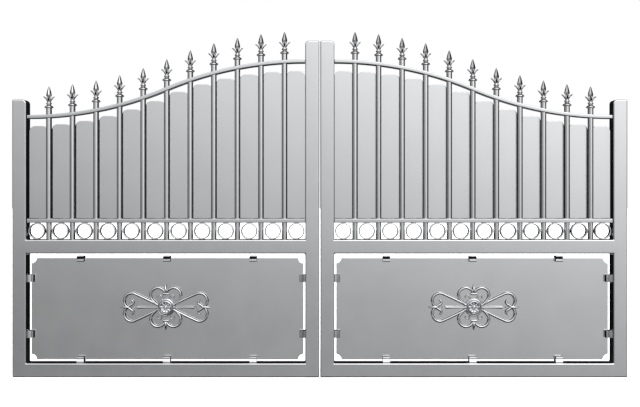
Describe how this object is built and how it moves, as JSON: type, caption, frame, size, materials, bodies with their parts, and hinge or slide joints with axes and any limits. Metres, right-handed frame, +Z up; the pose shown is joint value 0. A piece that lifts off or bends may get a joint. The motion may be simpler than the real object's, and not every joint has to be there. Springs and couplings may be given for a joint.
{
  "type": "double-leaf swing gate",
  "caption": "Double swing gate with an ogee top rail, round balusters with spear finials, backing boards, a ring row and a clipped lower panel with a scroll ornament.",
  "frame": {"origin": "centre of the wall face of the lower left hinge bracket's plate", "axes": "+X along the gate to the right as seen from the yard, +Y into the wall behind the gate, +Z up"},
  "size_m": [3.594, 0.15, 1.9706],
  "materials": {
    "frame_aluminium": "satin",
    "board_aluminium": "satin, rolled",
    "cast_aluminium": "satin, cast",
    "hinge_steel": "galvanised, matt",
    "plug_plastic": "matt"
  },
  "bodies": {
    "hinge_brackets": {"left_wall_bracket_lower": "hinge_steel", "left_wall_bracket_upper": "hinge_steel", "right_wall_bracket_lower": "hinge_steel", "right_wall_bracket_upper": "hinge_steel"},
    "left_leaf": {"left_hinge_stile": "frame_aluminium", "left_meeting_stile": "frame_aluminium", "left_bottom_rail": "frame_aluminium", "left_mid_rail": "frame_aluminium", "left_ring_rail": "frame_aluminium", "left_top_rail": "frame_aluminium", "left_balusters": "frame_aluminium", "left_finials": "cast_aluminium", "left_boards": "board_aluminium", "left_rings": "frame_aluminium", "left_panel": "board_aluminium", "left_panel_clips": "cast_aluminium", "left_boss": "cast_aluminium", "left_scrolls": "cast_aluminium", "left_hinge_eyes": "hinge_steel", "left_end_plugs": "plug_plastic"},
    "right_leaf": {"right_hinge_stile": "frame_aluminium", "right_meeting_stile": "frame_aluminium", "right_bottom_rail": "frame_aluminium", "right_mid_rail": "frame_aluminium", "right_ring_rail": "frame_aluminium", "right_top_rail": "frame_aluminium", "right_balusters": "frame_aluminium", "right_finials": "cast_aluminium", "right_boards": "board_aluminium", "right_rings": "frame_aluminium", "right_panel": "board_aluminium", "right_panel_clips": "cast_aluminium", "right_boss": "cast_aluminium", "right_scrolls": "cast_aluminium", "right_hinge_eyes": "hinge_steel", "right_end_plugs": "plug_plastic"}
  },
  "joints": [
    {"name": "left_leaf_hinge", "type": "hinge", "parent": "hinge_brackets", "child": "left_leaf", "pos_m": [0.009, -0.042, 0], "axis": [0, 0, -1], "range_deg": [0, 90]},
    {"name": "right_leaf_hinge", "type": "hinge", "parent": "hinge_brackets", "child": "right_leaf", "pos_m": [3.485, -0.042, 0], "axis": [0, 0, 1], "range_deg": [0, 90]}
  ]
}
